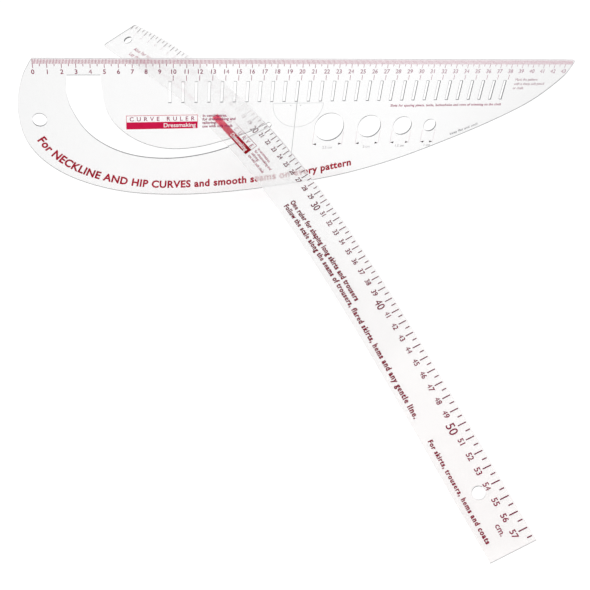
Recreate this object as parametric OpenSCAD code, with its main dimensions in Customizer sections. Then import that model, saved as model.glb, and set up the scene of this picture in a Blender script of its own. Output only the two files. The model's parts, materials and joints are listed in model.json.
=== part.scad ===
// Dressmaker's curve set: a clear curve plate standing on its round edge, held up by the
// long hip ruler that is threaded through the narrow end of its crescent slot.
//
// Plate frame: x runs along the straight scale from its 0 mark, y points up to the scale
// edge, z = 0 is the printed face and the sheet lies behind it.
// Ruler frame: x runs along the graduated edge towards the high numbers, y points out over
// that edge, z = 0 is the printed face. Its zero point is where the edge meets the slot.

/* [Sheets] */
// Thickness of both clear sheets
sheet_t = 1.5; // [1:0.1:2]
// Thickness of the printed ink layers
ink_t = 0.1; // [0.05:0.05:0.15]

/* [Curve plate] */
// Last centimetre mark of the plate's straight scale
plate_cm = 43; // [40:1:43]
// Diameter of the plate's hanging hole
plate_hole_d = 10.5; // [8:0.5:12]
// Diameters of the four stencil circles
circle_d = [25, 20, 16.5, 11];
// Places of the stencil circles along the scale
circle_x = [228.5, 263.5, 293, 318];
// Distance of the stencil circles below the scale edge
circle_drop = 58; // [56:0.5:59]
// First and last centimetre that has a pleat slot under it
pleat_from = 10; // [10:1:15]
pleat_to = 38; // [30:1:38]
// Width and length of one pleat slot
pleat_w = 2.4; // [1.5:0.1:3]
pleat_len = 17; // [12:0.5:18]

/* [Hip ruler] */
// Length along the graduated edge
ruler_len = 578; // [576:1:580]
// Widths near the 0 end and at the far end
ruler_w0 = 36.3; // [36:0.1:37.5]
ruler_w1 = 28.5; // [27:0.5:30]
// Radius of the graduated edge at the 0 end
ruler_r0 = 550; // [500:10:700]
// Distance along the edge at which it has become straight
ruler_straight_at = 525; // [500:5:600]
// Diameter of the two hanging holes
ruler_hole_d = 8; // [6:0.5:9]

/* [Stance] */
// Lean of the plate, away from the ruler's long end
lean = 5.42; // [0:0.01:8]
// Slope of the scale, down towards its high numbers
roll = 7.18; // [0:0.01:8]
// Direction of the ruler's cut across the plate
slot_angle = 27.3; // [25:0.1:28]
// Tilt of the ruler, down from square to the plate
ruler_pitch = 15.54; // [10:0.01:20]
// Turn of the ruler in its own plane
ruler_skew = 13.1; // [10:0.1:15]

/* [Hidden] */
$fn = 96;

cm = 10;
eps = 1;

// Knots of the plate's free outline, from the 0 corner round the nose to the pointed end
plate_knots = [
  [0, 0], [-8, -15], [-13, -38], [-9, -65], [6, -86], [31, -102], [66, -113],
  [110, -117], [155, -115.5], [200, -110.5], [245, -103], [290, -90.5], [335, -73],
  [375, -55], [408, -36.5], [430, -16.5], [436.2, -6], [437.7, -1.5], [436.6, 0]
];
// Knots of the crescent slot: its outer side down to the narrow end, and its inner side back
crescent_outer = [
  [23, -12.5], [22, -27], [26, -42], [36, -59], [52, -72], [72, -80], [96, -83],
  [120, -81], [143, -75], [163, -65.5], [177, -57.5]
];
crescent_inner = [
  [177, -53], [160, -61.5], [143, -67.5], [122, -73], [101, -74.5], [83, -71],
  [67, -62.5], [55, -50], [49, -35], [47, -12.5]
];
crescent_tip = [177, -55.25];
crescent_tip_r = 2.25;

plate_hole_at = [1.5, -47.5];
mark_gap = 0.4;
mm_band = 3.8;
half_mark_end = 5.6;
cm_mark_end = 6.9;
mark_w = 0.45;
pleat_top = 18;
pleat_gap = 1.1;
pleat_mark_from = 12.8;
pleat_mark_to = 17;
etch_w = 0.3;
centre_line_x = 198.5;
half_moon_at = [199.8, -36.2];
half_moon_r = 21;
half_moon_dots = [[193.6, -38.2], [201.8, -38.2]];
arrow_y = -73.3;
arrow_len = 2.8;
arrow_w = 1.8;

label_len = 55;
label_frame_h = 6;
label_bar_h = 5.5;
label_line = 0.35;
plate_label_at = [64.5, -51];

ruler_step = 5;
ruler_mark_gap = 0.9;
ruler_cm_mark = 5.4;
ruler_half_mark = 3;
ruler_mark_w = 0.7;
ruler_last_half = 115;
ruler_end_round = 2.5;
ruler_end_back = [[6, 35.7], [-3, 34.5]];
ruler_end_corner = [-12, 33.2];
ruler_hole0 = [8, 17.3];
ruler_hole1 = [541, 15];
ruler_label_s = 188.5;
ruler_label_drop = 24;

// Where the ruler's graduated edge meets the slot, on the plate and along the ruler
thread_at = [176.3, -55.2];
thread_s = 205;

// ---- Curves -------------------------------------------------------------------------

// One point of a smooth curve between knots b and c
function between(a, b, c, d, t) =
  0.5 * (2 * b + (c - a) * t + (2 * a - 5 * b + 4 * c - d) * t * t
    + (3 * b - a - 3 * c + d) * t * t * t);

// A smooth curve through a list of knots
function smooth(k, steps = 5) = [
  for (i = [0:len(k) - 2], j = [0:steps - 1])
    between(k[max(i - 1, 0)], k[i], k[i + 1], k[min(i + 2, len(k) - 1)], j / steps),
  k[len(k) - 1]
];

// Heading of the ruler's edge at distance s from its 0 end, in degrees
function heading(s) =
  (s - s * s / (2 * ruler_straight_at)) / ruler_r0 * 180 / PI;

// Points of the ruler's edge, a step apart, from the 0 end
edge_raw = [
  for (i = 0, p = [0, 0]; i <= ceil(ruler_len / ruler_step);
    p = p + ruler_step * [
      cos(heading((i + 0.5) * ruler_step)), -sin(heading((i + 0.5) * ruler_step))
    ],
    i = i + 1) p
];

function turned(p, a) = [p[0] * cos(a) - p[1] * sin(a), p[0] * sin(a) + p[1] * cos(a)];

// Points of the ruler's edge in the ruler frame
thread_raw = edge_raw[round(thread_s / ruler_step)];
edge = [for (p = edge_raw) turned(p - thread_raw, heading(thread_s))];

// Direction of the ruler's edge at distance s, in the ruler frame
function edge_angle(s) = heading(thread_s) - heading(s);

// Point at distance s along the edge and a drop inwards from it, in the ruler frame. Before
// the 0 mark the edge's line carries on straight.
function ruler_point(s, drop) =
  let (
    i = max(min(floor(s / ruler_step), len(edge) - 2), 0),
    f = s / ruler_step - i,
    a = edge_angle(max(s, 0))
  )
  edge[i] * (1 - f) + edge[i + 1] * f + drop * [sin(a), -cos(a)];

// Width of the ruler at distance s
function ruler_width(s) =
  ruler_w0 - (ruler_w0 - ruler_w1) * pow(s / ruler_len, 2.1);

// Points of the arc of radius r that rounds the corner at b, on the way from a to c
function rounded(a, b, c, r) =
  let (
    u = (a - b) / norm(a - b),
    v = (c - b) / norm(c - b),
    half = acos(u * v) / 2,
    middle = b + (u + v) / norm(u + v) * r / sin(half),
    first = b + u * r / tan(half) - middle,
    sweep = -sign(u[0] * v[1] - u[1] * v[0]) * (180 - 2 * half)
  )
  [for (t = [0:0.25:1]) middle + turned(first, t * sweep)];

// The long sides of the ruler, sampled a step apart and at its far end
side_steps = [
  for (i = [1:ceil(ruler_len / ruler_step) - 1]) i * ruler_step
];
front_side = concat([for (s = side_steps) ruler_point(s, 0)], [ruler_point(ruler_len, 0)]);
back_side = concat(
  [ruler_point(ruler_len, ruler_width(ruler_len))],
  [
    for (i = [len(side_steps) - 1:-1:2])
      ruler_point(side_steps[i], ruler_width(side_steps[i]))
  ],
  [for (p = ruler_end_back) ruler_point(p[0], p[1])]
);
front_corner = ruler_point(0, 0);
back_corner = ruler_point(ruler_end_corner[0], ruler_end_corner[1]);

ruler_outline = concat(
  rounded(back_corner, front_corner, front_side[0], ruler_end_round),
  front_side,
  back_side,
  rounded(back_side[len(back_side) - 1], back_corner, front_corner, ruler_end_round)
);

// ---- Placing ------------------------------------------------------------------------

function turn_x(p, a) =
  [p[0], p[1] * cos(a) - p[2] * sin(a), p[1] * sin(a) + p[2] * cos(a)];
function turn_y(p, a) =
  [p[0] * cos(a) + p[2] * sin(a), p[1], -p[0] * sin(a) + p[2] * cos(a)];
function turn_z(p, a) =
  [p[0] * cos(a) - p[1] * sin(a), p[0] * sin(a) + p[1] * cos(a), p[2]];

// A point of the plate frame, turned to the stance
function stand(p) = turn_y(turn_x(p, 90 - lean), roll);

// A point of the ruler frame, carried into the plate frame
function threaded(p) =
  let (q = turn_z(p, ruler_skew))
  [thread_at[0], thread_at[1], 0]
    + turn_z(turn_x([q[1], q[2], q[0]], ruler_pitch), slot_angle);

plate_outline = smooth(plate_knots);

// Every corner that can bound the set, in its stance
stance_points = concat(
  [for (p = plate_outline, z = [-sheet_t, 0]) stand([p[0], p[1], z])],
  [for (p = ruler_outline, z = [-sheet_t, 0]) stand(threaded([p[0], p[1], z]))]
);
function low(i) = min([for (p = stance_points) p[i]]);
function high(i) = max([for (p = stance_points) p[i]]);
stance_shift = [-(low(0) + high(0)) / 2, -(low(1) + high(1)) / 2, -low(2)];

module on_plate() {
  translate(stance_shift) rotate([90 - lean, roll, 0]) children();
}

module on_ruler() {
  on_plate()
    translate([thread_at[0], thread_at[1], 0])
      rotate([0, 0, slot_angle])
        rotate([ruler_pitch, 0, 0])
          rotate([0, -90, -90])
            rotate([0, 0, ruler_skew])
              children();
}

// Places a flat mark at distance s along the ruler, with x along its edge
module at_ruler(s, drop) {
  translate(ruler_point(s, drop)) rotate([0, 0, edge_angle(s)]) children();
}

module sheet() {
  translate([0, 0, -sheet_t]) linear_extrude(sheet_t) children();
}

module ink() {
  linear_extrude(ink_t) children();
}

module drill(at, d) {
  translate([at[0], at[1], -sheet_t - eps]) cylinder(d = d, h = sheet_t + 2 * eps);
}

// A straight printed line between two points
module line(a, b, w) {
  run = b - a;
  translate(a) rotate(atan2(run[1], run[0])) translate([0, -w / 2]) square([norm(run), w]);
}

// A hollow rectangle drawn with a thin line
module box_line(size, w) {
  difference() {
    square(size);
    translate([w, w]) square(size - [2 * w, 2 * w]);
  }
}

// ---- Curve plate --------------------------------------------------------------------

module crescent_slot() {
  translate([0, 0, -sheet_t - eps])
    linear_extrude(sheet_t + 2 * eps)
      polygon(concat(smooth(crescent_outer), smooth(crescent_inner)));
  drill(crescent_tip, 2 * crescent_tip_r);
}

module pleat_slots() {
  for (k = [pleat_from:pleat_to])
    translate([k * cm - pleat_gap - pleat_w, -pleat_top - pleat_len, -sheet_t - eps])
      cube([pleat_w, pleat_len, sheet_t + 2 * eps]);
}

module curve_plate() {
  color([0.90, 0.93, 0.94, 0.45]) on_plate()
    difference() {
      sheet() polygon(plate_outline);
      crescent_slot();
      pleat_slots();
      drill(plate_hole_at, plate_hole_d);
      for (i = [0:3]) drill([circle_x[i], -circle_drop], circle_d[i]);
    }
}

module plate_scale_marks() {
  color([0.70, 0.16, 0.32]) on_plate() ink()
    for (h = [0:2 * plate_cm]) {
      mark_end = h % 2 == 0 ? cm_mark_end : half_mark_end;
      mark_start = h == 0 ? mark_gap : mm_band;
      translate([h * cm / 2 - (h == 0 ? 0 : mark_w / 2), -mark_end])
        square([mark_w, mark_end - mark_start]);
    }
}

module pleat_slot_marks() {
  color([0.45, 0.25, 0.30]) on_plate() ink()
    for (k = [pleat_from:pleat_to])
      translate([k * cm - mark_w / 2, -pleat_mark_to])
        square([mark_w, pleat_mark_to - pleat_mark_from]);
}

module centre_line() {
  color([0.62, 0.63, 0.64]) on_plate() ink()
    line([centre_line_x, -pleat_top], [centre_line_x, -109.5], etch_w);
}

module half_moon_mark() {
  color([0.62, 0.63, 0.64]) on_plate() ink() {
    difference() {
      translate(half_moon_at) difference() {
        circle(half_moon_r);
        circle(half_moon_r - etch_w);
        translate([-half_moon_r - eps, 0]) square(2 * half_moon_r + 2 * eps);
      }
      translate([centre_line_x - 1.5 * etch_w, half_moon_at[1] - half_moon_r - eps])
        square([3 * etch_w, half_moon_r]);
    }
    for (end_x = [-half_moon_r, half_moon_r])
      line(
        half_moon_at + [end_x, 0],
        [centre_line_x + sign(end_x) * 1.5 * etch_w, half_moon_at[1]],
        etch_w
      );
    for (p = half_moon_dots) translate(p) circle(d = 0.9, $fn = 24);
  }
}

module arrow_head(tip, side) {
  translate([tip, arrow_y])
    polygon([[0, 0], [-side * arrow_len, arrow_w / 2], [-side * arrow_len, -arrow_w / 2]]);
}

function circle_side(i, side) = circle_x[i] + side * (circle_d[i] / 2 + etch_w);

module circle_size_lines() {
  color([0.80, 0.72, 0.74]) on_plate() ink()
    for (i = [0:3], side = [-1, 1])
      line(
        [circle_side(i, side), -circle_drop - 4],
        [circle_side(i, side), arrow_y - 1],
        etch_w
      );
}

module circle_size_arrows() {
  color([0.28, 0.22, 0.25]) on_plate() ink()
    for (i = [0:3], side = [-1, 1])
      arrow_head(circle_side(i, side) - side * etch_w, side);
}

module plate_label_frame() {
  color([0.80, 0.05, 0.28]) on_plate() ink()
    translate(plate_label_at) box_line([label_len, label_frame_h], label_line);
}

module plate_label_bar() {
  color([0.84, 0.0, 0.31]) on_plate() ink()
    translate(plate_label_at - [0, label_bar_h]) square([label_len, label_bar_h]);
}

// ---- Hip ruler ----------------------------------------------------------------------

module hip_ruler() {
  color([0.93, 0.93, 0.93, 0.45]) on_ruler()
    difference() {
      sheet() polygon(ruler_outline);
      drill(ruler_point(ruler_hole0[0], ruler_hole0[1]), ruler_hole_d);
      drill(ruler_point(ruler_hole1[0], ruler_hole1[1]), ruler_hole_d);
    }
}

module ruler_scale_marks() {
  color([0.52, 0.20, 0.30]) on_ruler() ink()
    for (h = [0:ruler_last_half]) {
      mark_len = h % 2 == 0 ? ruler_cm_mark : ruler_half_mark;
      at_ruler(h * cm / 2, ruler_mark_gap)
        translate([h == 0 ? 0 : -ruler_mark_w / 2, -mark_len])
          square([ruler_mark_w, mark_len]);
    }
}

module ruler_label_frame() {
  color([0.70, 0.05, 0.22]) on_ruler() ink()
    at_ruler(ruler_label_s, ruler_label_drop)
      translate([-label_len / 2, 0]) box_line([label_len, label_frame_h], label_line);
}

module ruler_label_bar() {
  color([0.67, 0.04, 0.14]) on_ruler() ink()
    at_ruler(ruler_label_s, ruler_label_drop)
      translate([-label_len / 2, -label_bar_h]) square([label_len, label_bar_h]);
}

curve_plate();
plate_scale_marks();
pleat_slot_marks();
centre_line();
half_moon_mark();
circle_size_lines();
circle_size_arrows();
plate_label_frame();
plate_label_bar();
hip_ruler();
ruler_scale_marks();
ruler_label_frame();
ruler_label_bar();
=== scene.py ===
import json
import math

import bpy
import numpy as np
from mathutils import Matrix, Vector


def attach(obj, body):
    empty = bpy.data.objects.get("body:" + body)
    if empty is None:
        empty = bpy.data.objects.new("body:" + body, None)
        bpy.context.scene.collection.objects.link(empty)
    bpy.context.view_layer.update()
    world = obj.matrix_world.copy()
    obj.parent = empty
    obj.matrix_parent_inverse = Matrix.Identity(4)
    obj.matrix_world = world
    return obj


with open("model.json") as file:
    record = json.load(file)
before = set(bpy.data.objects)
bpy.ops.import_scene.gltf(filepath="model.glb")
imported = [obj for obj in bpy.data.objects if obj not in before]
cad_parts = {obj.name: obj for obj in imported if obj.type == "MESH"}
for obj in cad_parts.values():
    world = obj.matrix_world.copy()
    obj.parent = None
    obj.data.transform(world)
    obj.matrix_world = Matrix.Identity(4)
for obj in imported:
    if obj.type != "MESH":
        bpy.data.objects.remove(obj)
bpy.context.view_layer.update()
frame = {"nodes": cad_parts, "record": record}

# A clear dressmaker's curve plate and the hip ruler threaded through it. The two CAD sheets keep
# their shape and get a hazy clear plastic with frosted cut edges. The fine print is built here,
# as thin raised ink: millimetre marks, numbers and plain words.
#
# Plate and ruler frames are in millimetres, as in the CAD source. Plate: x along the scale from
# its 0 mark, y up to the scale edge. Ruler: x along the graduated edge, y out over that edge.
# In both, z = 0 is the printed face.

MM = 0.001
CM = 10

# ---- Stance, the same as the CAD's -------------------------------------------------------

SHEET_T = 1.5
LEAN, ROLL = 5.42, 7.18
THREAD_AT = (176.3, -55.2, 0)
SLOT_ANGLE, RULER_PITCH, RULER_SKEW = 27.3, 15.54, 13.1
PLATE_HOLE_MID = (1.5, -47.5, -SHEET_T / 2)


def turn(axis, degrees):
    return Matrix.Rotation(math.radians(degrees), 4, axis)


mounts = {m["name"]: m for m in frame["record"]["mounts"]}
standing = turn("Y", ROLL) @ turn("X", 90 - LEAN) @ Matrix.Scale(MM, 4)
hole_mid = Vector(mounts["plate_hanging_hole"]["pos_m"])
ON_PLATE = Matrix.Translation(hole_mid - standing @ Vector(PLATE_HOLE_MID)) @ standing

edge_to_slot = Matrix(((0, 1, 0, 0), (0, 0, 1, 0), (1, 0, 0, 0), (0, 0, 0, 1)))
ON_RULER = (
    ON_PLATE
    @ Matrix.Translation(THREAD_AT)
    @ turn("Z", SLOT_ANGLE)
    @ turn("X", RULER_PITCH)
    @ edge_to_slot
    @ turn("Z", RULER_SKEW)
)
PLATE_NORMAL = ON_PLATE.to_3x3().col[2].normalized()
PLATE_ALONG = ON_PLATE.to_3x3().col[0].normalized()
RULER_NORMAL = ON_RULER.to_3x3().col[2].normalized()
RULER_ALONG = ON_RULER.to_3x3().col[0].normalized()

# ---- The ruler's curved edge -------------------------------------------------------------

RULER_LEN = 578
RULER_R0 = 550
STRAIGHT_AT = 525
EDGE_STEP = 5
THREAD_S = 205


def heading(s):
    """Direction of the graduated edge, in radians, s mm from the ruler's 0 end."""
    return (s - s * s / (2 * STRAIGHT_AT)) / RULER_R0


def edge_points():
    """Points of the graduated edge, EDGE_STEP apart, in the ruler frame."""
    at, points = np.zeros(2), []
    for i in range(math.ceil(RULER_LEN / EDGE_STEP) + 1):
        points.append(at)
        way = heading((i + 0.5) * EDGE_STEP)
        at = at + EDGE_STEP * np.array((math.cos(way), -math.sin(way)))
    points = np.array(points) - points[THREAD_S // EDGE_STEP]
    c, s = math.cos(heading(THREAD_S)), math.sin(heading(THREAD_S))
    return points @ np.array(((c, s), (-s, c)))


EDGE = edge_points()


def on_edge(s, drop):
    """Place (x, y, angle) at s along the graduated edge and drop mm in from it."""
    steps = np.arange(len(EDGE)) * EDGE_STEP
    angle = heading(THREAD_S) - heading(s)
    x = np.interp(s, steps, EDGE[:, 0]) + drop * math.sin(angle)
    y = np.interp(s, steps, EDGE[:, 1]) - drop * math.cos(angle)
    return x, y, angle


# ---- Lettering ---------------------------------------------------------------------------


def in_scene(name, data):
    """A new object in the scene."""
    made = bpy.data.objects.new(name, data)
    bpy.context.scene.collection.objects.link(made)
    return made


INK_LOW, INK_HIGH = 0.01, 0.07
BAR_DEPTH = 0.1
# The most weight that these letters take before their holes fill in
BOLDEST = {"4": 0.0, "M": 0.0, "e": 0.028}
glyphs = {}


def outline(body, weight):
    """Vertices and faces of a text in the built-in font, one unit to the em."""
    curve = bpy.data.curves.new("glyph", "FONT")
    curve.body = body
    curve.offset = weight
    curve.extrude = 0.5
    curve.resolution_u = 3
    holder = bpy.data.objects.new("glyph", curve)
    mesh = bpy.data.meshes.new_from_object(holder)
    points = np.array([v.co for v in mesh.vertices], float).reshape(-1, 3)
    faces = [tuple(p.vertices) for p in mesh.polygons]
    bpy.data.objects.remove(holder)
    bpy.data.curves.remove(curve)
    bpy.data.meshes.remove(mesh)
    return points, faces


def glyph(letter, weight):
    """Vertices, faces and advance width of one letter."""
    weight = min(weight, BOLDEST.get(letter, weight))
    if (letter, weight) not in glyphs:
        points, faces = outline(letter, weight)
        between = outline("H" + letter + "H", weight)[0][:, 0]
        alone = outline("HH", weight)[0][:, 0]
        advance = np.ptp(between) - np.ptp(alone)
        glyphs[letter, weight] = (points, faces, advance)
    return glyphs[letter, weight]


CAP_HEIGHT = np.ptp(outline("H", 0)[0][:, 1])


class Print:
    """One printed layer: flat shapes on a sheet's printed face, gathered into one thin piece."""

    def __init__(self, name, on_sheet, on_top_of=0.0):
        self.name, self.on_sheet, self.base = name, on_sheet, on_top_of
        self.points, self.faces, self.count = [], [], 0

    def shape(self, points, faces, place):
        """Adds a shape at place (x, y, angle). Its z from -0.5 to 0.5 becomes the ink's depth."""
        x, y, angle = place
        c, s = math.cos(angle), math.sin(angle)
        z = self.base + INK_LOW + (INK_HIGH - INK_LOW) * (points[:, 2] + 0.5)
        across, up = points[:, 0], points[:, 1]
        turned = (x + across * c - up * s, y + across * s + up * c, z)
        self.points.append(np.column_stack(turned))
        self.faces += [tuple(v + self.count for v in f) for f in faces]
        self.count += len(points)

    def bar(self, width, height, place):
        """Adds a rectangle. place is the middle of its top side."""
        w = width / 2
        flat = [(-w, -height), (w, -height), (w, 0), (-w, 0)]
        points = np.array([(*p, z) for z in (-0.5, 0.5) for p in flat])
        faces = [(3, 2, 1, 0), (4, 5, 6, 7)]
        faces += [(i, (i + 1) % 4, (i + 1) % 4 + 4, i + 4) for i in range(4)]
        self.shape(points, faces, place)

    def words(self, text, cap, path, length=None, weight=0.0, align=0.0, narrow=1.0):
        """Sets text along path(u), which gives (x, y, angle) at u mm from its start. cap is the
        height of a capital, in mm. length spreads the letters to fill it. weight thickens them,
        as a share of the em, and narrow scales their width. align is 0 to start at u = 0, 0.5
        to centre there and 1 to end there."""
        size = cap / CAP_HEIGHT
        cut = [glyph(letter, weight) for letter in text]
        run = [a * size * narrow for _, _, a in cut]
        loose = 0 if length is None else (length - sum(run)) / max(len(text) - 1, 1)
        u = -align * (sum(run) + loose * (len(text) - 1))
        for (points, faces, _), width in zip(cut, run):
            middle = width / 2
            if len(points):
                placed = points * (size * narrow, size, 1) - (middle, 0, 0)
                self.shape(placed, faces, path(u + middle))
            u += width + loose

    def made(self, body, slot, material):
        """The finished piece, riding on its body."""
        mesh = bpy.data.meshes.new(self.name)
        points = np.concatenate(self.points)
        mesh.from_pydata([self.on_sheet @ Vector(p) for p in points], [], self.faces)
        mesh.materials.append(material)
        mesh.validate()
        piece = in_scene(self.name, mesh)
        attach(piece, body)
        return piece


def straight(x, y, degrees=0.0):
    """A straight path from (x, y)."""
    angle = math.radians(degrees)
    return lambda u: (x + u * math.cos(angle), y + u * math.sin(angle), angle)


def along_edge(s, drop, rise=0.0):
    """A path beside the ruler's graduated edge, from s, nearing the edge by rise mm a mm."""
    return lambda u: on_edge(s + u, drop - rise * u)


def smooth_path(knots):
    """A path through knots on a smooth curve, by distance along it."""
    k = np.array(knots, float)
    k = np.concatenate(([2 * k[0] - k[1]], k, [2 * k[-1] - k[-2]]))
    t = np.linspace(0, 1, 20, endpoint=False)[:, None]
    spans = []
    for a, b, c, d in zip(k, k[1:], k[2:], k[3:]):
        spans.append(
            0.5
            * (
                2 * b
                + (c - a) * t
                + (2 * a - 5 * b + 4 * c - d) * t**2
                + (3 * b - a - 3 * c + d) * t**3
            )
        )
    points = np.concatenate((*spans, k[-2:-1]))
    gone = np.concatenate(([0], np.cumsum(np.hypot(*np.diff(points, axis=0).T))))

    def place(u):
        here = [np.interp(u, gone, points[:, i]) for i in (0, 1)]
        back, ahead = (
            [np.interp(u + d, gone, points[:, i]) for i in (0, 1)] for d in (-1.5, 1.5)
        )
        return (*here, math.atan2(ahead[1] - back[1], ahead[0] - back[0]))

    return place, gone[-1]


# ---- Materials ---------------------------------------------------------------------------

PLASTIC_IOR, INK_IOR = 1.49, 1.45
SCRATCH_ROUGHNESS = 0.05
POLISHED_SHARE = 0.55
PASSED_LIGHT = 0.985
# Sawn edges: a frosted grey, darkened as painted shade for the dark that the walls refract
SAW_AND_SHADE_GREYS = (0.10, 0.105, 0.11), (0.22, 0.225, 0.23)
# Walls that look away from the plate's 0 mark get this paler grey: painted light
PAINTED_LIGHT_SAW_GREY = (0.50, 0.505, 0.51)
POLISHED_TONE = (0.86, 0.80, 0.82)


def grey(value):
    return (value, value, value)


def new_material(name):
    """A material with only an output node, that node, and helpers that add and link nodes."""
    material = bpy.data.materials.new(name)
    material.use_nodes = True
    tree = material.node_tree
    tree.nodes.clear()
    out = tree.nodes.new("ShaderNodeOutputMaterial")

    def node(kind, **settings):
        made = tree.nodes.new("ShaderNode" + kind)
        for key, value in settings.items():
            if key in made.bl_rna.properties:
                setattr(made, key, value)
            else:
                made.inputs[key.replace("_", " ")].default_value = value
        return made

    return material, out, node, tree.links.new


def ramp(node, link, factor, low, high, dark, light):
    """A factor spread from low to high onto values or colours from dark to light."""
    made = node("MapRange", clamp=True)
    for socket, value in zip(made.inputs[1:5], (low, high, dark, light)):
        socket.default_value = value
    link(factor, made.inputs["Value"])
    return made.outputs["Result"]


def calculated(node, link, operation, *values, clamp=False):
    """The result of a Math node on numbers and other nodes' outputs."""
    made = node("Math", operation=operation, use_clamp=clamp)
    for socket, value in zip(made.inputs, values):
        if isinstance(value, (int, float)):
            socket.default_value = value
        else:
            link(value, socket)
    return made.outputs["Value"]


def difference(node, link, first, second):
    """first less second, from 0 to 1."""
    return calculated(node, link, "SUBTRACT", first, second, clamp=True)


def two_colours(node, link, factor, *colours):
    """A mix of two colours, each three numbers or another node's output."""
    made = node("Mix", data_type="RGBA")
    sides = [s for s in made.inputs if s.type == "RGBA"]
    for socket, colour in zip(sides, colours):
        if isinstance(colour, tuple):
            socket.default_value = (*colour, 1)
        else:
            link(colour, socket)
    link(factor, made.inputs["Factor"])
    return next(o for o in made.outputs if o.type == "RGBA")


def place_along(node, link, on_sheet, axis, first, last):
    """How far a point is along one of a sheet's axes, from 0 at first to 1 at last (in mm)."""
    back = on_sheet.inverted()
    along = node("VectorMath", operation="DOT_PRODUCT")
    link(node("TexCoord").outputs["Object"], along.inputs[0])
    along.inputs[1].default_value = back.row[axis][:3]
    start = first - back.row[axis][3]
    end = last - back.row[axis][3]
    return ramp(node, link, along.outputs["Value"], start, end, 0.0, 1.0)


def cosine_to(node, link, direction):
    """The cosine between direction and a face's normal, on the side that the ray meets."""
    facing = node("VectorMath", operation="DOT_PRODUCT")
    link(node("TexCoord").outputs["Normal"], facing.inputs[0])
    facing.inputs[1].default_value = direction
    return facing.outputs["Value"]


def turned_to(node, link, direction, low, high):
    """0 up to 1 as the cosine between a face's normal and direction, either way round, goes
    from low to high."""
    cosine = calculated(node, link, "ABSOLUTE", cosine_to(node, link, direction))
    return ramp(node, link, cosine, low, high, 0.0, 1.0)


def ink(name, colour, worn, *changes):
    """Screen-printed ink. Its colour drifts between colour and worn in small patches, and it
    lies slightly uneven. Each change is a colour that it turns to along the sheet, and (the
    sheet's matrix, its axis, where the change starts, where it ends)."""
    material, out, node, link = new_material(name)
    spot = node("TexCoord").outputs["Object"]
    cloud = node("TexNoise", Scale=90.0, Detail=3.0)
    grain = node("TexNoise", Scale=2600.0, Detail=2.0)
    for texture in (cloud, grain):
        link(spot, texture.inputs["Vector"])
    shader = node("BsdfPrincipled")
    shader.inputs["IOR"].default_value = INK_IOR
    shader.inputs["Specular IOR Level"].default_value = 0.15
    drift = ramp(node, link, cloud.outputs["Fac"], 0.35, 0.65, 0.0, 1.0)
    tone = two_colours(node, link, drift, colour, worn)
    for other, where in changes:
        tone = two_colours(node, link, place_along(node, link, *where), tone, other)
    link(tone, shader.inputs["Base Color"])
    rough = ramp(node, link, grain.outputs["Fac"], 0.3, 0.7, 0.42, 0.65)
    link(rough, shader.inputs["Roughness"])
    bump = node("Bump", Strength=0.15, Distance=0.00002)
    link(grain.outputs["Fac"], bump.inputs["Height"])
    link(bump.outputs["Normal"], shader.inputs["Normal"])
    link(shader.outputs["BSDF"], out.inputs["Surface"])
    return material


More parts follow.
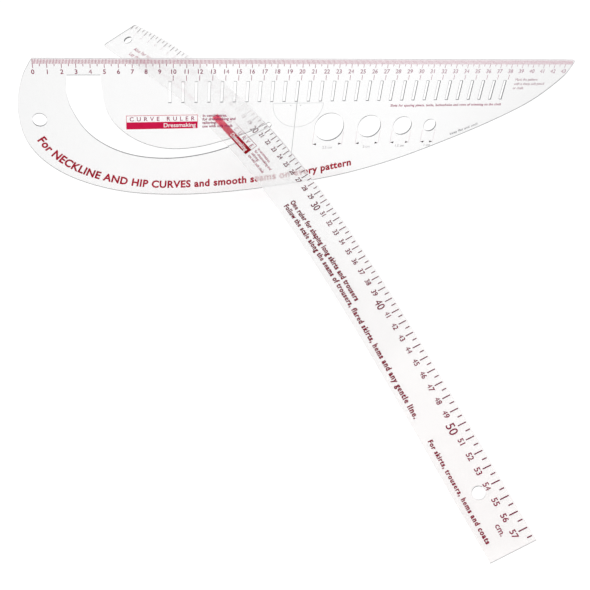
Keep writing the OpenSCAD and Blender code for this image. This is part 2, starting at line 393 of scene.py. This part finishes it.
def clear_sheet(name, edge_masks, haze, milk_share, tint, milk_tones):
    """Hazy clear plastic. Its flat faces let the light through, partly blurred and partly
    milky, and carry faint rubbed patches and scratches. edge_masks adds nodes that give 1 on
    the sawn edges, with any painted shade line drawn among them, and 1 on the polished ones.
    haze is the faces' roughness, milk_share how much light they scatter, and tint adds nodes
    that give the share of light passed."""
    material, out, node, link = new_material(name)
    spot = node("TexCoord").outputs["Object"]

    rubbed = node("TexNoise", Scale=14.0, Detail=4.0, Roughness=0.6)
    link(spot, rubbed.inputs["Vector"])
    fine = node("TexNoise", Scale=900.0, Detail=2.0)
    link(spot, fine.inputs["Vector"])
    stretch = node("Mapping", vector_type="POINT")
    stretch.inputs["Rotation"].default_value = (0.3, 0.5, 0.9)
    stretch.inputs["Scale"].default_value = (1.0, 60.0, 14.0)
    link(spot, stretch.inputs["Vector"])
    scratch = node("TexNoise", Scale=22.0, Detail=1.0)
    link(stretch.outputs["Vector"], scratch.inputs["Vector"])
    scratched = ramp(node, link, scratch.outputs["Fac"], 0.72, 0.78, 0.0, 1.0)

    blur = ramp(node, link, rubbed.outputs["Fac"], 0.35, 0.7, haze * 0.9, haze * 1.2)
    rough = calculated(node, link, "MULTIPLY_ADD", scratched, SCRATCH_ROUGHNESS, blur)

    glass = node("BsdfPrincipled")
    link(tint(node, link), glass.inputs["Base Color"])
    glass.inputs["Transmission Weight"].default_value = 1.0
    glass.inputs["IOR"].default_value = PLASTIC_IOR
    link(rough, glass.inputs["Roughness"])

    milk = node("BsdfPrincipled")
    milk.inputs["IOR"].default_value = PLASTIC_IOR
    milk_tone = ramp(node, link, rubbed.outputs["Fac"], 0.35, 0.7, 0.0, 1.0)
    link(two_colours(node, link, milk_tone, *milk_tones), milk.inputs["Base Color"])
    link(rough, milk.inputs["Roughness"])

    face = node("MixShader", Fac=milk_share)
    link(glass.outputs["BSDF"], face.inputs[1])
    link(milk.outputs["BSDF"], face.inputs[2])

    # Edges: sawn ones are frosted grey, darkened as painted shade for the dark that the walls
    # refract, and some walls get a paler grey as painted light. Polished ones are still partly
    # glass.
    sawn, polished = edge_masks(node, link)
    cut_share = calculated(node, link, "MULTIPLY_ADD", polished, POLISHED_SHARE, sawn)
    cut = node("BsdfPrincipled")
    cut.inputs["IOR"].default_value = PLASTIC_IOR
    cut.inputs["Roughness"].default_value = 0.5
    saw = ramp(node, link, fine.outputs["Fac"], 0.3, 0.7, 0.0, 1.0)
    saw_and_shade_grey = two_colours(node, link, saw, *SAW_AND_SHADE_GREYS)
    saw_and_shade_grey = two_colours(node, link, pale_walls(node, link), saw_and_shade_grey, PAINTED_LIGHT_SAW_GREY)
    link(two_colours(node, link, sawn, POLISHED_TONE, saw_and_shade_grey), cut.inputs["Base Color"])
    cut_bump = node("Bump", Strength=0.4, Distance=0.00008)
    link(fine.outputs["Fac"], cut_bump.inputs["Height"])
    link(cut_bump.outputs["Normal"], cut.inputs["Normal"])

    surface = node("MixShader")
    link(cut_share, surface.inputs["Fac"])
    link(face.outputs["Shader"], surface.inputs[1])
    link(cut.outputs["BSDF"], surface.inputs[2])

    # Light for the floor and for what lies behind passes straight through
    path = node("LightPath")
    for kind in ("Is Shadow Ray", "Is Diffuse Ray"):
        passing = node("BsdfTransparent")
        passing.inputs["Color"].default_value = (*grey(PASSED_LIGHT), 1)
        mixed = node("MixShader")
        link(path.outputs[kind], mixed.inputs["Fac"])
        link(surface.outputs["Shader"], mixed.inputs[1])
        link(passing.outputs["BSDF"], mixed.inputs[2])
        surface = mixed
    link(surface.outputs["Shader"], out.inputs["Surface"])
    return material


def walls(node, link, normal):
    """1 on a sheet's cut edges and 0 on its two faces."""
    return difference(node, link, 1.0, turned_to(node, link, normal, 0.4, 0.6))


def pale_walls(node, link):
    """1 on the walls of the plate's slots and circles that look away from its 0 mark, along the
    scale, and 0 elsewhere. These walls get a paler grey: painted light, for the light that such
    walls scatter when seen through the sheet."""
    # The normal comes turned round on the back of a face. This turns it outwards again, so that
    # a wall has the same tone from both sides.
    turned = node("NewGeometry").outputs["Backfacing"]
    outwards = calculated(node, link, "MULTIPLY_ADD", turned, -2, 1)
    cosine = cosine_to(node, link, PLATE_ALONG)
    cosine = calculated(node, link, "MULTIPLY", cosine, outwards)
    away = ramp(node, link, cosine, 0.75, 0.95, 0.0, 1.0)
    past_nose = place_along(node, link, ON_PLATE, 0, 80, 100)
    return calculated(node, link, "MULTIPLY", away, past_nose)


def plate_edges(node, link):
    """The plate is sawn all round but for its scale edge, which is polished."""
    wall = walls(node, link, PLATE_NORMAL)
    polished = difference(node, link, wall, place_along(node, link, ON_PLATE, 1, -0.2, -0.4))
    return difference(node, link, wall, polished), polished


def crossing_line(node, link):
    """A painted shade line just inside the ruler's graduated edge, where it crosses the plate:
    the dark look that the edge has over the plate.
    """
    reach, deep, darkness = 100, 20, 0.45
    rim_inner, rim_outer = 0.7, 0.45
    out_along = place_along(node, link, ON_RULER, 0, 0, reach)
    inward = place_along(node, link, ON_RULER, 1, -deep, 0)
    # The edge curves away from the ruler's x axis by this share of deep at reach
    bow = reach * reach * (1 - THREAD_S / STRAIGHT_AT) / RULER_R0 / 2 / deep
    bent = calculated(node, link, "MULTIPLY", out_along, out_along)
    from_edge = calculated(node, link, "MULTIPLY_ADD", bent, bow, inward)
    inner, outer = 1 - rim_inner / deep, 1 - rim_outer / deep
    rim = ramp(node, link, from_edge, inner, outer, 0.0, darkness)
    crossing = difference(
        node,
        link,
        place_along(node, link, ON_RULER, 0, -8, -4),
        place_along(node, link, ON_RULER, 0, 64, 68),
    )
    return calculated(node, link, "MULTIPLY", rim, crossing)


def ruler_edges(node, link):
    """The ruler's long sides are polished; its ends, and its holes' end sides, are sawn. Its
    graduated edge gets a painted shade line where it crosses the plate, drawn with the sawn
    edges."""
    wall = walls(node, link, RULER_NORMAL)
    polished = difference(node, link, wall, turned_to(node, link, RULER_ALONG, 0.33, 0.4))
    sawn = difference(node, link, wall, polished)
    # The painted shade line joins the sawn edges' mask and takes their grey
    return calculated(node, link, "MAXIMUM", sawn, crossing_line(node, link)), polished


def plate_tint(node, link):
    """The plate is clearest in the middle and a little greyer towards both ends."""
    left = place_along(node, link, ON_PLATE, 0, 130, -20)
    right = place_along(node, link, ON_PLATE, 0, 300, 420)
    ends = calculated(node, link, "MAXIMUM", left, right)
    return two_colours(node, link, ends, grey(0.922), grey(0.836))


def ruler_tint(node, link):
    """The ruler is faintly warm towards its far end. Behind the plate it is clearer: painted
    light, so that the stretch behind the plate looks brighter.
    """
    near = place_along(node, link, ON_RULER, 0, 0, -30)
    far = place_along(node, link, ON_RULER, 0, 60, 340)
    past = place_along(node, link, ON_RULER, 0, -110, -160)
    clear = two_colours(node, link, near, grey(0.885), grey(0.955))
    clear = two_colours(node, link, past, clear, grey(0.87))
    return two_colours(node, link, far, clear, (0.845, 0.812, 0.803))


# Where inks change along a sheet: its matrix, the axis, and the start and end in mm
TIP_FADE = (ON_PLATE, 0, 60, 330)
# Ruler inks turn pale towards the 0 end. Behind the plate this is painted light, for the haze
# that the plate lays over them
NEAR_FADE_AND_PAINTED_HAZE = (ON_RULER, 0, 5, -30)
FAR_GLOW = (ON_RULER, 0, 60, 330)
# The ruler's label inks turn paler and pinker behind the plate: painted light, brighter behind
# the plate and darker in front
LABEL_PAINTED_LIGHT = (ON_RULER, 0, 8, -42)
# The ruler's marks turn a darker grey again where the ruler comes out past the plate
PAST_PLATE = (ON_RULER, 0, -118, -130)
# The worn lines turn paler behind the plate: painted light, for the plate's haze over them
UNDER_PLATE = (ON_RULER, 0, -157, -146)

mauve = ink(
    "mauve_ink", (0.28, 0.03, 0.08), (0.38, 0.06, 0.13), ((0.50, 0.24, 0.31), TIP_FADE)
)
mark_ink = ink(
    "plate_mark_ink", (0.20, 0.02, 0.06), (0.30, 0.05, 0.11), ((0.46, 0.30, 0.35), TIP_FADE)
)
number_ink = ink(
    "plate_number_ink", (0.16, 0.015, 0.05), (0.24, 0.03, 0.07), ((0.45, 0.31, 0.36), TIP_FADE)
)
crimson = ink("crimson_ink", (0.49, 0.0, 0.042), (0.54, 0.0, 0.055))
motto_ink = ink("motto_ink", (0.27, 0.002, 0.016), (0.36, 0.007, 0.028))
dark_ink = ink("dark_ink", (0.015, 0.010, 0.012), (0.05, 0.025, 0.03))
note_ink = ink("note_ink", (0.21, 0.012, 0.05), (0.30, 0.03, 0.10))
tip_ink = ink("tip_note_ink", (0.26, 0.11, 0.16), (0.38, 0.22, 0.27))
ruler_marks = ink(
    "ruler_mark_ink",
    (0.06, 0.018, 0.025),
    (0.11, 0.03, 0.04),
    ((0.74, 0.71, 0.72), NEAR_FADE_AND_PAINTED_HAZE),
    ((0.26, 0.23, 0.24), PAST_PLATE),
    ((0.14, 0.004, 0.03), FAR_GLOW),
)
ruler_ink = ink(
    "ruler_number_ink",
    (0.065, 0.002, 0.012),
    (0.11, 0.006, 0.022),
    ((0.72, 0.68, 0.69), NEAR_FADE_AND_PAINTED_HAZE),
    ((0.20, 0.0, 0.03), FAR_GLOW),
)
ruler_words = ink(
    "ruler_words_ink", (0.10, 0.001, 0.009), (0.14, 0.004, 0.018), ((0.20, 0.0, 0.02), FAR_GLOW)
)
worn_and_painted_haze_words = ink(
    "worn_words_ink", (0.30, 0.08, 0.12), (0.42, 0.18, 0.22), ((0.76, 0.68, 0.70), UNDER_PLATE)
)
frame_ink = ink(
    "ruler_frame_ink", (0.16, 0.01, 0.02), (0.24, 0.03, 0.05), ((0.72, 0.60, 0.63), LABEL_PAINTED_LIGHT)
)
ruler_note_ink = ink(
    "ruler_note_ink", (0.19, 0.012, 0.04), (0.28, 0.03, 0.08), ((0.66, 0.52, 0.56), LABEL_PAINTED_LIGHT)
)
red_ink = ink(
    "red_ink", (0.18, 0.0, 0.002), (0.24, 0.0, 0.006), ((0.68, 0.0, 0.06), LABEL_PAINTED_LIGHT)
)
white_ink = ink("white_ink", (0.86, 0.84, 0.84), (0.78, 0.74, 0.75))
scribed = ink("scribed_line", (0.50, 0.51, 0.52), (0.66, 0.66, 0.67))
small_ink = ink("small_print_ink", (0.32, 0.31, 0.32), (0.44, 0.43, 0.44))
deep_line = ink("deep_scribed_line", (0.16, 0.165, 0.17), (0.28, 0.28, 0.29))
pale_line = ink("pale_line", (0.66, 0.57, 0.60), (0.76, 0.68, 0.70))

frame_materials = {
    "curve_plate": clear_sheet(
        "plate_sheet", plate_edges, 0.10, 0.01, plate_tint, (grey(0.95), grey(0.9))
    ),
    "hip_ruler": clear_sheet(
        "ruler_sheet", ruler_edges, 0.08, 0.25, ruler_tint, (grey(0.88), grey(0.84))
    ),
    "plate_scale_marks": mark_ink,
    "pleat_slot_marks": mark_ink,
    "centre_line": deep_line,
    "half_moon_mark": scribed,
    "circle_size_lines": pale_line,
    "circle_size_arrows": dark_ink,
    "plate_label_frame": crimson,
    "plate_label_bar": crimson,
    "ruler_scale_marks": ruler_marks,
    "ruler_label_frame": frame_ink,
    "ruler_label_bar": red_ink,
}
for name, material in frame_materials.items():
    mesh = frame["nodes"][name].data
    mesh.materials.clear()
    mesh.materials.append(material)

# ---- Print on the curve plate ------------------------------------------------------------

# Shared with the print on the ruler. Sizes are in mm, and a weight is a share of the em.
NUMBER_WEIGHT = 0.018
LABEL_CAP, LABEL_LENGTH, LABEL_WEIGHT = 3.3, 50, 0.01
SMALL_CAP, LINE_GAP = 2.2, 3.05
BAR_TEXT = "Dressmaking"
SIDE_LINES = (
    "in centimetres,",
    "for dressmaking and",
    "tailoring;",
    "use with soft chalk",
)

PLATE_CM = 43
PLATE_MM = 436
TICK_WIDTH, TICK_LENGTH, TICK_FROM_EDGE = 0.42, 3.4, 0.4

mm_ticks = Print("plate_mm_ticks", ON_PLATE)
for k in range(1, PLATE_MM + 1):
    mm_ticks.bar(TICK_WIDTH, TICK_LENGTH, (k, -TICK_FROM_EDGE, 0))
mm_ticks.made("plate", "mauve_ink", mauve)

numbers = Print("plate_numbers", ON_PLATE)
number_cap, number_y = 3.3, -11.4
for k in range(PLATE_CM + 1):
    place = straight(k * CM, number_y)
    numbers.words(str(k), number_cap, place, align=0.5, weight=NUMBER_WEIGHT)
numbers.made("plate", "mauve_ink", number_ink)

motto_path, motto_length = smooth_path(
    [(-2, -64), (8, -78), (24, -91), (45, -100.5), (74, -107.6)]
    + [(105, -110), (152, -108.5), (198, -104), (253, -94)]
)
motto = Print("plate_motto", ON_PLATE)
motto.words(
    "For NECKLINE AND HIP CURVES and smooth seams on every pattern",
    6.3,
    motto_path,
    length=motto_length,
    weight=0.035,
    narrow=0.92,
)
motto.made("plate", "crimson_ink", motto_ink)

label = Print("plate_label_words", ON_PLATE)
label.words(
    "CURVE RULER", LABEL_CAP, straight(67, -49.7), length=LABEL_LENGTH, weight=LABEL_WEIGHT
)
label.made("plate", "crimson_ink", note_ink)

side_words = Print("plate_side_lines", ON_PLATE)
for i, line in enumerate(SIDE_LINES):
    side_words.words(line, SMALL_CAP, straight(123.2, -46.9 - LINE_GAP * i), weight=0.023)
side_words.made("plate", "mauve_ink", note_ink)

bar_words = Print("plate_bar_words", ON_PLATE, BAR_DEPTH)
bar_words.words(BAR_TEXT, LABEL_CAP, straight(118, -55.1), align=1.0, weight=LABEL_WEIGHT)
bar_words.made("plate", "crimson_ink", white_ink)

notes = Print("plate_notes", ON_PLATE)
notes.words(
    "Slots for spacing pleats, tucks, buttonholes and rows of trimming on the cloth",
    2.0,
    straight(278.7, -40.3),
    length=101,
    weight=0.03,
    narrow=0.9,
)
notes.made("plate", "mauve_ink", note_ink)

tip_note = Print("plate_tip_note", ON_PLATE)
tip_gap = 3.8
for i, line in enumerate(("Mark the pattern", "with a sharp soft pencil", "or chalk")):
    place = straight(386.5, -18.2 - tip_gap * i)
    tip_note.words(line, SMALL_CAP, place, weight=0.005, narrow=0.95)
tip_note.made("plate", "mauve_ink", tip_ink)

sizes = Print("plate_small_print", ON_PLATE)
sizes_y = -77.6
for x, text in ((229, "2.5 cm"), (263.7, "2 cm"), (293.7, "1.5 cm"), (319, "1 cm")):
    sizes.words(text, SMALL_CAP, straight(x, sizes_y), align=0.5, weight=0.005)
sizes.made("plate", "grey_line", small_ink)

care = Print("plate_care_words", ON_PLATE)
care.words("keep flat and cool", 2.3, straight(338.9, -67.6, 22), length=25.6, weight=0.015)
care.made("plate", "dark_ink", deep_line)

# ---- Print on the hip ruler --------------------------------------------------------------

RULER_CM = 57

ruler_numbers = Print("ruler_numbers", ON_RULER)
# height of a capital, drop and weight
tens, others = (5.3, 13.0, 0.01), (3.4, 10.85, NUMBER_WEIGHT)
for k in range(1, RULER_CM + 1):
    cap, drop, weight = tens if k % 10 == 0 else others
    place = along_edge(k * CM, drop)
    ruler_numbers.words(str(k), cap, place, align=0.5, weight=weight)
ruler_numbers.words("cm.", 3.4, along_edge(561.3, 16.3), weight=0.015)
ruler_numbers.made("ruler", "dark_ink", ruler_ink)

ruler_label = Print("ruler_label_words", ON_RULER)
ruler_label.words(
    "HIP CURVE", LABEL_CAP, along_edge(164, 22.7), length=LABEL_LENGTH, weight=LABEL_WEIGHT
)
for i, line in enumerate(SIDE_LINES):
    ruler_label.words(line, SMALL_CAP, along_edge(219.7, 19.2 + LINE_GAP * i), weight=0.005)
ruler_label.made("ruler", "red_ink", ruler_note_ink)

ruler_bar_words = Print("ruler_bar_words", ON_RULER, BAR_DEPTH)
ruler_bar_words.words(BAR_TEXT, LABEL_CAP, along_edge(214, 28.1), align=1.0, weight=LABEL_WEIGHT)
ruler_bar_words.made("ruler", "red_ink", white_ink)

uses = Print("ruler_use_lines", ON_RULER)
# words, then start along the edge, drop, rise, length and height of a capital
use_lines = (
    ("One ruler for shaping long skirts and trousers", (284, 24.3, 0.009, 104.5, 3.5)),
    (
        "Follow the scale along the seams of trousers, flared skirts, hems and any gentle line.",
        (284, 29.9, 0.0115, 199.5, 3.5),
    ),
    ("For skirts, trousers, hems and coats", (500, 26.8, 0.02, 68.5, 2.8)),
)
for text, (s, drop, rise, length, cap) in use_lines:
    uses.words(text, cap, along_edge(s, drop, rise), length=length, weight=0.045, narrow=0.92)
uses.made("ruler", "dark_ink", ruler_words)

# Worn print. Where it lies behind the plate its ink is paler, as painted light for the plate's
# haze
worn_uses = Print("ruler_worn_lines", ON_RULER)
for text, drop, length in (
    ("Also for long seams and hems of coats", 24, 84),
    ("Lay the edge on the hip and draw the side seam", 30, 104),
):
    place = along_edge(24, drop, 0.002)
    worn_uses.words(text, 3.4, place, length=length, weight=0.005, narrow=0.88)
worn_uses.made("ruler", "dark_ink", worn_and_painted_haze_words)

# ---- Floor, light and camera -------------------------------------------------------------

HALF_FLOOR = 6
FLOOR_WHITE = 0.93
square = [(-1, -1), (1, -1), (1, 1), (-1, 1)]
floor_mesh = bpy.data.meshes.new("floor")
corners = [(HALF_FLOOR * x, HALF_FLOOR * y, 0) for x, y in square]
floor_mesh.from_pydata(corners, [], [(0, 1, 2, 3)])
floor = in_scene("floor", floor_mesh)
floor_material, out, node, link = new_material("floor_white")
paper = node("BsdfPrincipled", Roughness=0.9)
paper.inputs["Base Color"].default_value = (*grey(FLOOR_WHITE), 1)
paper.inputs["Specular IOR Level"].default_value = 0.0
link(paper.outputs["BSDF"], out.inputs["Surface"])
floor_mesh.materials.append(floor_material)

ROOM_LIGHT = 1.06
world = bpy.data.worlds.new("studio")
bpy.context.scene.world = world
world.use_nodes = True
background = world.node_tree.nodes["Background"]
background.inputs["Color"].default_value = (1, 1, 1, 1)
background.inputs["Strength"].default_value = ROOM_LIGHT

# A square soft light that faces the object
LAMP_AT = Vector((-0.6, -0.5, 1.8))
LAMP_SIZE, LAMP_WATTS = 1.6, 6
light = bpy.data.lights.new("overhead", "AREA")
light.size = LAMP_SIZE
light.energy = LAMP_WATTS
lamp = in_scene("overhead", light)
lamp.location = LAMP_AT
lamp.rotation_euler = (-LAMP_AT).to_track_quat("-Z", "Y").to_euler()

LENS, SENSOR_WIDTH = 49.06, 36
CAMERA_AT = (-0.14646, -0.45119, 0.42123)
CAMERA_LOOKS = (0.16414, 0.68415, -0.71063)
CAMERA_RIGHT = (0.97333, -0.22936, 0.00401)
camera_data = bpy.data.cameras.new("camera")
camera_data.lens = LENS
camera_data.sensor_width = SENSOR_WIDTH
looking = Vector(CAMERA_LOOKS).normalized()
upwards = Vector(CAMERA_RIGHT).cross(looking).normalized()
turned = Matrix((looking.cross(upwards), upwards, -looking)).transposed()
camera = in_scene("camera", camera_data)
camera.matrix_world = Matrix.Translation(CAMERA_AT) @ turned.to_4x4()
bpy.context.scene.camera = camera
bpy.context.scene.view_settings.view_transform = "Standard"
